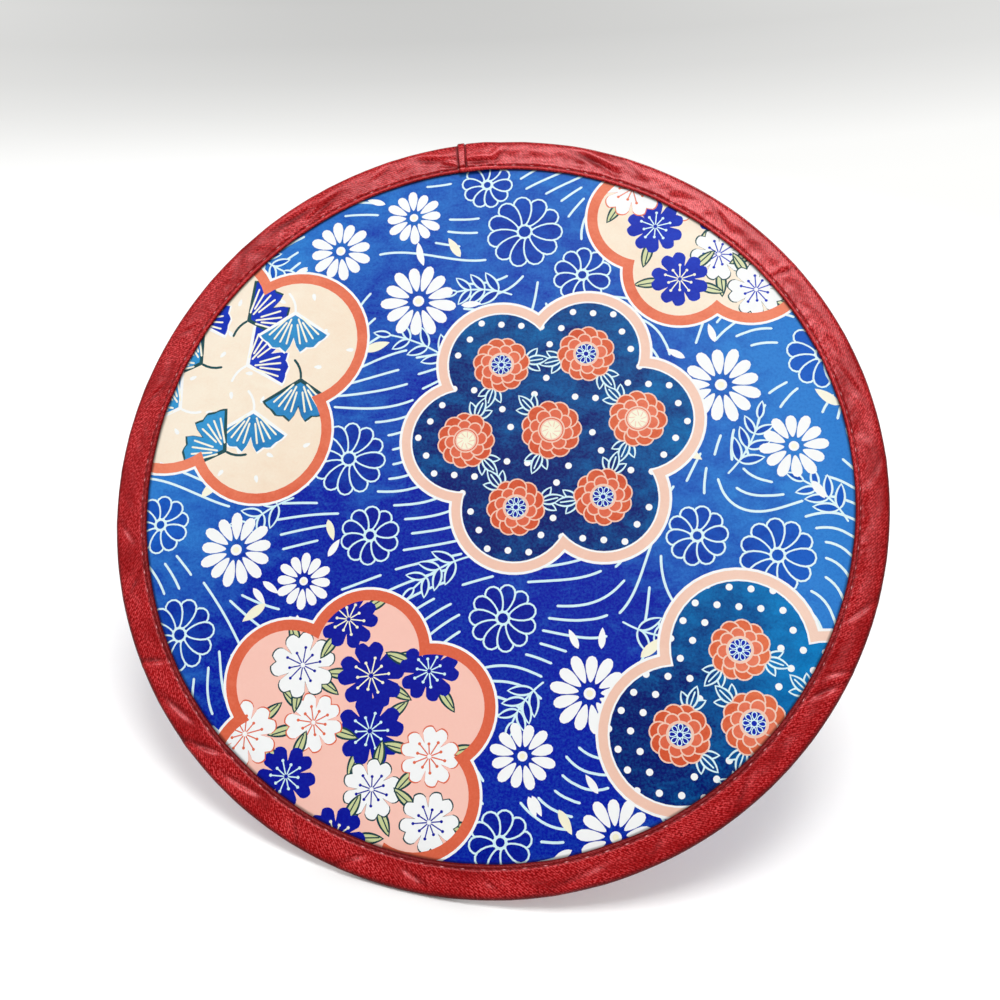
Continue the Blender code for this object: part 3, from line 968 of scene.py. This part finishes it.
def runTree(obj, tree, values):
    # Sets the named inputs, evaluates once and keeps the result as a plain mesh in world place
    modifier = obj.modifiers.new(tree.name, "NODES")
    modifier.node_group = tree
    ids = {item.name: item.identifier for item in tree.interface.items_tree if item.in_out == "INPUT"}
    for name, value in values.items():
        modifier[ids[name]] = value
    bpy.context.view_layer.update()
    graph = bpy.context.evaluated_depsgraph_get()
    mesh = bpy.data.meshes.new_from_object(obj.evaluated_get(graph), depsgraph=graph)
    obj.modifiers.remove(modifier)
    old, obj.data = obj.data, mesh
    bpy.data.meshes.remove(old)
    mesh.name = obj.name
    mesh.transform(discToWorld)
    mesh.update()
    print(obj.name, len(mesh.polygons), "faces")
    return obj


# The finishes

def weaveGroup():
    # Threads, the diagonal grain they make together, and a speckle, on the cloth's own flat map
    tree, get, result = newGroup("satinWeave", "ShaderNodeTree", [
        ("Vector", "Vector", None), ("Threads", "Float", 600.0), ("Slant", "Float", 0.0)],
        [("Height", "Float"), ("Grain", "Float"), ("Speck", "Float")])
    turn = {"Vector": get["Vector"], "Angle": get["Slant"]}
    u, v = (part * get["Threads"] for part in split(add(tree, "ShaderNodeVectorRotate", turn, rotation_type="Z_AXIS")))
    # a long float over several threads, stepped from row to row as satin is
    step = u / 4.0 + calc("FLOOR", v) * 0.4
    floatEnd, thread = (calc("ABSOLUTE", calc("SINE", part * math.pi)) for part in (step, v))
    height = calc("POWER", thread, 0.6) * calc("POWER", floatEnd, 0.25)
    # slubs: thicker and thinner threads drawn out along their run
    slub = noiseAt(vector(u * 0.24, v * 0.70), 1.0, 3.0, Roughness=0.6)
    speck = noiseAt(get["Vector"], 340.0, 3.0, Roughness=0.75)
    height.feed(result, "Height")
    (slub * 0.35 + height * 0.15 + speck * 0.50).feed(result, "Grain")
    speck.feed(result, "Speck")
    return tree


def washGroup():
    # How far an ink has gone from its deep tone to its light one: brushed patches over a slow drift
    tree, get, result = newGroup("inkWash", "ShaderNodeTree", [
        ("Vector", "Vector", None), ("Deep", "Color", None), ("Light", "Color", None)], [("Color", "Color")])
    spot = get["Vector"]
    x, y = split(spot)
    broad = noiseAt(spot, 6.5, 3.0, Roughness=0.55, Distortion=0.7)
    strokes = noiseAt(stretched(spot, 0.6, 26.0, 44.0), 1.0, 5.0, Roughness=0.65, Distortion=0.5)
    grain = noiseAt(spot, 300.0, 3.0, Roughness=0.65)
    # lightest at the top and towards both sides
    drift, sides = y * 1.35 - 0.02, x * (x * 6.0 + 0.35)
    amount = straightFade(drift + sides + (broad - 0.5) * 1.1 + (strokes - 0.5) * 1.1, 0.0, 1.0, 0.06, 0.94)
    mottle = (grain - 0.5) * 0.80 + (strokes - 0.5) * 0.30
    amount = calc("ADD", amount, mottle, use_clamp=True)
    mixTone(amount, get["Deep"], get["Light"]).feed(result, "Color")
    return tree


satinWeave = weaveGroup()
inkWash = washGroup()


def wovenCloth(tree, threads, slant):
    uv = add(tree, "ShaderNodeUVMap", uv_map="clothUv")
    return uv, useGroup(tree, "ShaderNodeGroup", satinWeave, {"Vector": uv, "Threads": threads, "Slant": slant})


def printedSatinMaterial():
    material, tree, shader = newMaterial("printedSatin", {"Specular IOR Level": 0.03})
    uv, weave = wovenCloth(tree, 900.0, 0.0)
    deep, light = (storedTone(tree, name, "Color") for name in ("inkDark", "inkLight"))
    wash = useGroup(tree, "ShaderNodeGroup", inkWash, {"Vector": uv, "Deep": deep, "Light": light})
    # painted shade: the ink is darkened right under the tape's fold, where the fold shades the print
    reach = add(tree, "ShaderNodeVectorMath", {0: uv}, "Value", operation="LENGTH")
    foldShade = fade(reach, 0.4364, 0.4400, 0.0, 0.65)
    mixTone(foldShade, wash["Color"], (0.004, 0.002, 0.010)).feed(shader, "Base Color")
    (weave["Speck"] * 0.12 + 0.28).feed(shader, "Roughness")
    addBump(shader, weave["Height"], 0.25, 0.0001)
    return material


def redSatinMaterial():
    material, tree, shader = newMaterial("redSatin", {
        "Specular IOR Level": 0.25, "Specular Tint": (1.0, 0.36, 0.38, 1), "Anisotropic": 0.35})
    slant = 0.72
    uv, weave = wovenCloth(tree, 390.0, slant)
    # painted sheen in long patches: some smooth and deep in colour, some paler with more specks
    sheenPatch = straightFade(noiseAt(stretched(uv, 0.10, 13.0, 33.0), 1.0, 3.0), 0.38, 0.60)
    grain = straightFade(weave["Grain"], 0.38, 0.64)
    tone = mixTone(grain * 0.60 + sheenPatch * 0.40, (0.195, 0.0001, 0.0006), (0.400, 0.0015, 0.003))
    # painted shade between the floats, and painted glints: pale specks where they catch the light
    floats = noiseAt(stretched(uv, slant, 300.0, 470.0), 1.0, 1.0, Roughness=0.8)
    fleck = floats * 0.75 + weave["Height"] * 0.22
    gap = straightFade(fleck, 0.36, 0.47, 0.60, 0.0) * (sheenPatch * 0.45 + 0.55)
    tone = mixTone(gap, tone, (0.050, 0.0, 0.0005))
    paintedSpecks = straightFade(fleck, 0.50, 0.63, 0.0, 0.92) * (sheenPatch * 0.85 + 0.30)
    tone = mixTone(paintedSpecks, tone, (0.650, 0.055, 0.061))
    # painted shade where the tape is pressed in, and painted highlight on the shoulders of the creases
    pressed = storedTone(tree, "paintedShadeAndHighlight")
    deep = calc("MAXIMUM", pressed, 0.0)
    tone = mixTone(deep * 0.85, tone, (0.045, 0.0, 0.0006))
    shoulderHighlight = calc("MULTIPLY", calc("MAXIMUM", pressed * -1.0, 0.0), 0.9, use_clamp=True) * (grain * 0.6 + 0.4)
    mixTone(shoulderHighlight, tone, (0.700, 0.060, 0.065)).feed(shader, "Base Color")
    (weave["Speck"] * 0.16 + 0.20 + deep * 0.3).feed(shader, "Roughness")
    addBump(shader, weave["Height"] * 0.2 + weave["Grain"], 0.25, 0.00015)
    return material


def redThreadMaterial():
    material, tree, shader = newMaterial("redThread", {
        "Roughness": 0.36, "Specular IOR Level": 0.35, "Specular Tint": (1.0, 0.42, 0.44, 1)})
    spot = add(tree, "ShaderNodeTexCoord", None, "Object")
    wave = {"Vector": spot, "Scale": 900.0, "Distortion": 2.0}
    twist = add(tree, "ShaderNodeTexWave", wave, "Fac", bands_direction="DIAGONAL")
    tone = mixTone(twist, (0.130, 0.001, 0.003), (0.300, 0.006, 0.009))
    # painted glint: every second stitch stands up enough to catch the light on its crown, and a pale tone is painted
    # there
    paintedGlint = storedTone(tree, "crown") * storedTone(tree, "glintStrength")
    mixTone(paintedGlint, tone, (0.900, 0.380, 0.390)).feed(shader, "Base Color")
    addBump(shader, twist, 0.5, 0.00005)
    return material


def springSteelMaterial():
    material, tree, shader = newMaterial("springSteel", {"Metallic": 1.0})
    drawn = noiseAt(add(tree, "ShaderNodeTexCoord", None, "Object"), 900.0, 4.0)
    mixTone(drawn, (0.33, 0.33, 0.34), (0.55, 0.55, 0.56)).feed(shader, "Base Color")
    (drawn * 0.2 + 0.25).feed(shader, "Roughness")
    return material


printedSatin = printedSatinMaterial()
redSatin = redSatinMaterial()
redThread = redThreadMaterial()
springSteel = springSteelMaterial()
for panel in (frontPanel, backPanel):
    panel.data.materials.append(printedSatin)

print("sweeping the tape")
stitchCount = 232
lapAngle = tapeSettings["lapLength"] / tapeSettings["hoop"]
rampAngle = tapeSettings["lapRamp"] / tapeSettings["hoop"]
seamAngle = math.radians(tapeSettings["seamAngle"])
tapeRows = tapeProfile()
tapeWide = round(2 * max(row["across"] for row in tapeRows) / 1000, 4)
seamSpot = Vector((tapeSettings["stitchLine"], tapeSettings["stitchDip"] + tapeSettings["thickness"] / 2))
seamRow = min(tapeRows, key=lambda row: (Vector((row["profileRadius"], row["profileHeight"])) - seamSpot).length)
print("tape laid flat", tapeWide, "stitched at", round(seamRow["across"], 2))
bindingTape = runTree(closedLoop("redSatinTape", tapeRows), tapeTree(seamRow["across"]), {
    "Stations": tapeSettings["stations"], "Start Angle": seamAngle - lapAngle, "Sweep": 2 * math.pi + lapAngle,
    "Lap Angle": lapAngle, "Ramp Angle": rampAngle, "Turned End": tapeSettings["turnedEnd"],
    "End Rise": tapeSettings["endRise"], "Pucker Height": tapeSettings["puckerHeight"],
    "Roll Height": tapeSettings["rollHeight"], "Stitch Count": stitchCount, "Seed": float(tapeSettings["seed"]),
    "Satin": redSatin})


# The stitches

stitchSettings = {
    "radius": 111.5,
    "height": 1.08,           # middle of the thread above the disc's middle plane
    "length": 2.30,
    "width": 0.36,
    "rings": 6,
    "sides": 6,
    "endTaper": 0.55,
    "endDip": 0.17,
    "crownReach": 0.42,       # half length of the middle where the glint is painted
    "proudRise": 0.09,        # every second stitch stands this much higher
    "seeds": (3, 8),          # of the front and the back row
}


def stitchMesh(name):
    # One short length of thread, thick in the middle and dipping into the cloth at both ends
    s = stitchSettings
    bm = bmesh.new()
    rings = []
    for k in range(s["rings"] + 1):
        share = k / s["rings"] * 2 - 1
        size = 0.5 * s["width"] * (1 - s["endTaper"] * share ** 4)
        dip = -s["endDip"] * share ** 4
        rings.append([bm.verts.new((0.5 * s["length"] * share, size * math.cos(a), dip + size * 0.85 * math.sin(a)))
                      for j, a in around(s["sides"])])
    for a, b in zip(rings, rings[1:]):
        for k in range(s["sides"]):
            after = (k + 1) % s["sides"]
            bm.faces.new((a[k], a[after], b[after], b[k]))
    bm.faces.new(rings[0])
    bm.faces.new(list(reversed(rings[-1])))
    bmesh.ops.recalc_face_normals(bm, faces=bm.faces)
    mesh = bpy.data.meshes.new(name)
    bm.to_mesh(mesh)
    bm.free()
    mesh.shade_smooth()
    storeFloats(mesh, "crown", [math.exp(-(vert.co.x / s["crownReach"]) ** 2) for vert in mesh.vertices])
    return addObject(name, mesh)


def stitchTree():
    names = ("Radius", "Height", "Side", "Lap Angle", "Ramp Angle", "Seam Angle", "Lap Rise")
    inputs = [("Thread", "Geometry", None), ("Count", "Int", 10), *((name, "Float", 1.0) for name in names),
              ("Seed", "Int", 1), ("Cord", "Material", None)]
    tree, get, result = newGroup("stitchRow", "GeometryNodeTree", inputs, [("Geometry", "Geometry")])
    number = add(tree, "GeometryNodeInputIndex")
    ring = add(tree, "GeometryNodeMeshLine", {"Count": get["Count"]}, mode="OFFSET")
    angle = (number + 0.5) * (2 * math.pi) / get["Count"]

    def wobble(low, high, extra):
        inputs = {2: low, 3: high, "Seed": get["Seed"] + float(extra)}
        return add(tree, "FunctionNodeRandomValue", inputs, 1, data_type="FLOAT")

    # over the lap the thread rises with the upper layer
    back = calc("WRAP", get["Seam Angle"] - angle, 2 * math.pi, 0.0)
    rise = fade((back - get["Lap Angle"]) / get["Ramp Angle"], 0.0, 1.0, 1.0, 0.0)
    radius = get["Radius"] + wobble(-0.07, 0.07, 1) - seamShift(angle)
    every = calc("MODULO", number, 2.0)
    height = get["Height"] + rise * get["Lap Rise"] + wobble(-0.03, 0.03, 2) + every * stitchSettings["proudRise"]
    place = vector(radius * calc("COSINE", angle), radius * calc("SINE", angle), height * get["Side"])
    moved = add(tree, "GeometryNodeSetPosition", {"Geometry": ring, "Position": place})
    # how strongly the painted glint shows on each stitch, most on the ones that stand higher
    glintStrength = (every * 0.75 + 0.15) * wobble(0.5, 1.1, 5)
    moved = add(tree, "GeometryNodeStoreNamedAttribute", {"Geometry": moved, "Name": "glintStrength", "Value": glintStrength},
                data_type="FLOAT", domain="POINT")
    # lie along the rim, each a few degrees off, turned over on the back
    flip = (1.0 - get["Side"]) * (math.pi / 2)
    turn = vector(flip, 0.0, angle + math.pi / 2 + wobble(-0.10, 0.06, 3))
    rows = add(tree, "GeometryNodeInstanceOnPoints", {
        "Points": moved, "Instance": get["Thread"], "Rotation": add(tree, "FunctionNodeEulerToRotation", {0: turn}),
        "Scale": vector(wobble(0.90, 1.06, 4), 1.0, 1.0)})
    keepResult(result, rows, get["Cord"])
    return tree


print("stitching the tape down")
stitchRow = stitchTree()
stitches = []
for name, side, seed in zip(("needleStitches", "bobbinStitches"), (1.0, -1.0), stitchSettings["seeds"]):
    stitches.append(runTree(stitchMesh(name), stitchRow, {
        "Count": stitchCount, "Radius": stitchSettings["radius"], "Height": stitchSettings["height"], "Side": side,
        "Lap Angle": lapAngle, "Ramp Angle": rampAngle, "Seam Angle": seamAngle, "Lap Rise": tapeSettings["lapRise"],
        "Seed": seed, "Cord": redThread}))

# The hoop and its ferrule keep their own solids and get drawn steel
for node in ("spring_hoop", "hoop_ferrule"):
    for slot in frame["nodes"][node].material_slots:
        slot.material = springSteel

# What rides on what
for panel, node in ((frontPanel, "front_panel"), (backPanel, "back_panel")):
    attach(panel, "cover")
    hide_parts(node)
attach(bindingTape, "cover")
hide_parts("binding_tape")
for row, node in zip(stitches, ("needle_thread", "bobbin_thread")):
    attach(row, "cover")
    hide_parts(node)


# The studio

studio = {
    "floorWhite": 1.0,        # as the camera sees it
    "floorOther": 0.80,
    "floorRadius": 30.0,      # metres
    "farFrom": (0.55, 0.85),  # the floor becomes backdrop between these distances, in metres
    # the backdrop's painted shade: its grey by how high a spot stands in the front view, as a slope from its middle
    "farGrey": [(0.24, 1.0), (0.27, 0.976), (0.285, 0.924), (0.30, 0.874),
                (0.32, 0.819), (0.34, 0.778), (0.37, 0.763), (0.40, 0.811)],
    "sky": 0.62,
    "ambient": 0.54,
    "lensFocal": 44.9,
    "azimuth": 10.58,
    "pitch": 29.67,
    "roll": 5.46,
    "centreInView": (-3.04, 1.70, -386.0),   # where the disc's middle lies from the camera, in millimetres
}
lampTarget = Vector((0.0, 0.0, 0.09))
lamps = [
    # name, place, size, strength
    ("top", (0.10, -0.30, 1.50), 0.50, 10.6),
    ("gloss", (-0.085, -0.446, 1.50), 0.35, 16.2),
    ("glossLeft", (-0.46, -0.47, 1.50), 0.35, 8.0),
    ("left", (-0.90, -0.60, 1.20), 0.80, 2.8),
    ("rear", (0.3, 1.3, 0.9), 0.9, 7.9),
]


def frontView():
    # The place the front view is seen from, with its right, up and backward directions
    turn, pitch, roll = (math.radians(studio[name]) for name in ("azimuth", "pitch", "roll"))
    back = Vector((math.sin(turn) * math.cos(pitch), -math.cos(turn) * math.cos(pitch), math.sin(pitch)))
    level = Vector((math.cos(turn), math.sin(turn), 0))
    right = level * math.cos(roll) + back.cross(level) * math.sin(roll)
    up = back.cross(right)
    x, y, z = studio["centreInView"]
    return discCentre - (right * x + up * y + back * z) * 0.001, right, up, back


def seenRay(tree):
    # 1 for what the camera sees, straight or by way of gloss or glass, and 0 for the light given to the fan
    rays = addNode(tree, "ShaderNodeLightPath").outputs
    camera, glossy, through = (Value(tree, rays[f"Is {kind} Ray"]) for kind in ("Camera", "Glossy", "Transmission"))
    return calc("MAXIMUM", camera, calc("MAXIMUM", glossy, through))


def combinedTone(red, green, blue):
    return add(red.tree, "ShaderNodeCombineColor", {0: red, 1: green, 2: blue})


def makeFloor():
    mesh = bpy.data.meshes.new("studioFloor")
    bm = bmesh.new()
    bmesh.ops.create_circle(bm, cap_ends=True, segments=96, radius=studio["floorRadius"])
    bm.to_mesh(mesh)
    bm.free()
    floor = addObject("studioFloor", mesh)
    material, tree, shader = newMaterial("studioFloor")
    seen = seenRay(tree)
    white = seen * (studio["floorWhite"] - studio["floorOther"]) + studio["floorOther"]
    near = add(tree, "ShaderNodeBsdfDiffuse", {"Color": combinedTone(white, white, white)})
    place = add(tree, "ShaderNodeNewGeometry", None, "Position")
    apart = add(tree, "ShaderNodeVectorMath", {0: place}, "Value", operation="LENGTH")
    # painted shade: the far floor is an emission that goes grey upwards, most in the middle
    eye, right, up, back = frontView()
    away = add(tree, "ShaderNodeVectorMath", {0: place, 1: eye}, operation="SUBTRACT")
    depth, rise, side = (add(tree, "ShaderNodeVectorMath", {0: away, 1: axis}, "Value", operation="DOT_PRODUCT")
                         for axis in (-back, up, right))
    depth = calc("MAXIMUM", depth, 0.05)
    row, column = rise / depth, side / depth
    bend = column * (column * 0.084 + 0.047)
    low, high = studio["farGrey"][0][0], studio["farGrey"][-1][0]
    ramp = addNode(tree, "ShaderNodeValToRGB", {0: straightFade(row - bend, low, high)})
    stops = ramp.color_ramp.elements
    for k, (height, value) in enumerate(studio["farGrey"]):
        share = (height - low) / (high - low)
        stop = stops[k] if k < 2 else stops.new(share)
        stop.position = share
        stop.color = (value, value, value, 1)
    # a painted patch of deeper shade high up, left of the middle
    backdropShadePatch = bell((column + 0.094) / 0.3545) * straightFade(row, 0.30, 0.40, 0.0, 0.216)
    grey = Value(tree, ramp.outputs[0]) - backdropShadePatch
    far = add(tree, "ShaderNodeEmission", {"Color": combinedTone(grey, grey, grey * 0.985), "Strength": 1.0})
    fromNear = fade(apart, *studio["farFrom"]) * seen
    mixed = add(tree, "ShaderNodeMixShader", {0: fromNear, 1: near, 2: far})
    mixed.feed(tree.nodes["Material Output"], "Surface")
    tree.nodes.remove(shader)
    mesh.materials.append(material)


def makeWorld():
    world = bpy.data.worlds.new("studio")
    bpy.context.scene.world = world
    world.use_nodes = True
    background = world.node_tree.nodes["Background"]
    background.inputs["Color"].default_value = (1, 1, 0.985, 1)
    strength = seenRay(world.node_tree) * (studio["sky"] - studio["ambient"]) + studio["ambient"]
    strength.feed(background, "Strength")


def makeLamps():
    for name, place, size, strength in lamps:
        data = bpy.data.lights.new(name, "AREA")
        data.size = size
        data.energy = strength
        lamp = addObject(name, data)
        lamp.location = place
        lamp.visible_diffuse = not name.startswith("gloss")   # those two only shine in the satin
        lamp.rotation_euler = (Vector(place) - lampTarget).to_track_quat("Z", "Y").to_euler()


def makeCamera():
    eye, right, up, back = frontView()
    data = bpy.data.cameras.new("photoCamera")
    data.sensor_width = 36
    data.lens = studio["lensFocal"]
    data.clip_start = 0.01
    camera = addObject("photoCamera", data)
    camera.matrix_world = Matrix((right, up, back)).transposed().to_4x4()
    camera.location = eye
    bpy.context.scene.camera = camera


print("setting up the studio")
makeFloor()
makeWorld()
makeLamps()
makeCamera()
bpy.context.scene.view_settings.view_transform = "Standard"
